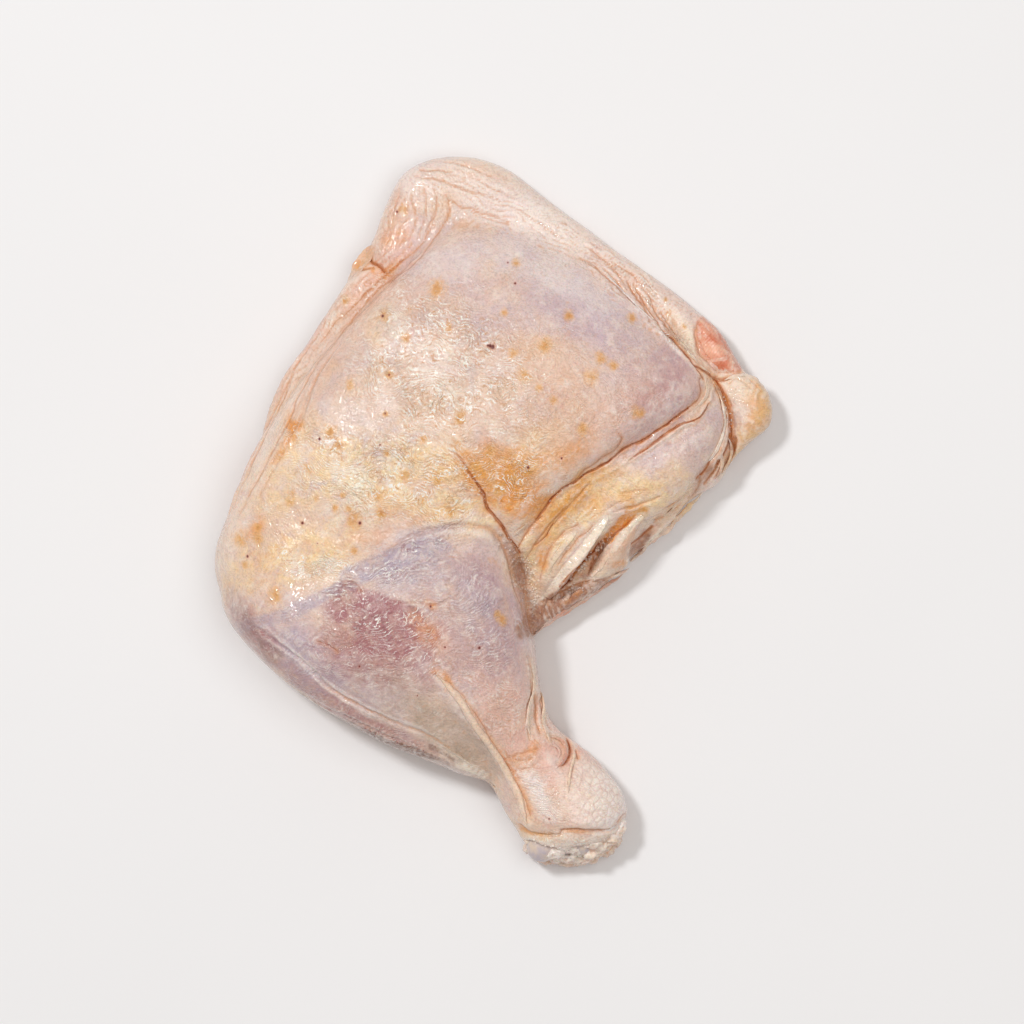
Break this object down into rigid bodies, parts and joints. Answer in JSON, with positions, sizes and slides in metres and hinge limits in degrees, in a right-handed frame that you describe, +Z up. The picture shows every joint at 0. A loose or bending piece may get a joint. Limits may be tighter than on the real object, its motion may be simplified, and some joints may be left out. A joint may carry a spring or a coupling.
{
  "type": "raw chicken leg quarter",
  "caption": "Raw chicken leg quarter lying skin side up: a bent thigh and drumstick in loose, creased skin, with the cut joint at the foot end showing the bone.",
  "frame": {"origin": "middle of the box round the leg, on the surface that it lies on", "axes": "+Y from the cut hock joint towards the hip end, as long as the leg's longest side; +X from the knee towards the tail end; +Z up"},
  "size_m": [0.1621, 0.2073, 0.0418],
  "materials": {
    "skin": "wet, pale and uneven, peach cream with yellow and lilac areas",
    "cartilage": "wet, smooth, bluish grey"
  },
  "bodies": {
    "root": {"leg_quarter": "skin", "leg_bone": "cartilage"}
  },
  "joints": []
}
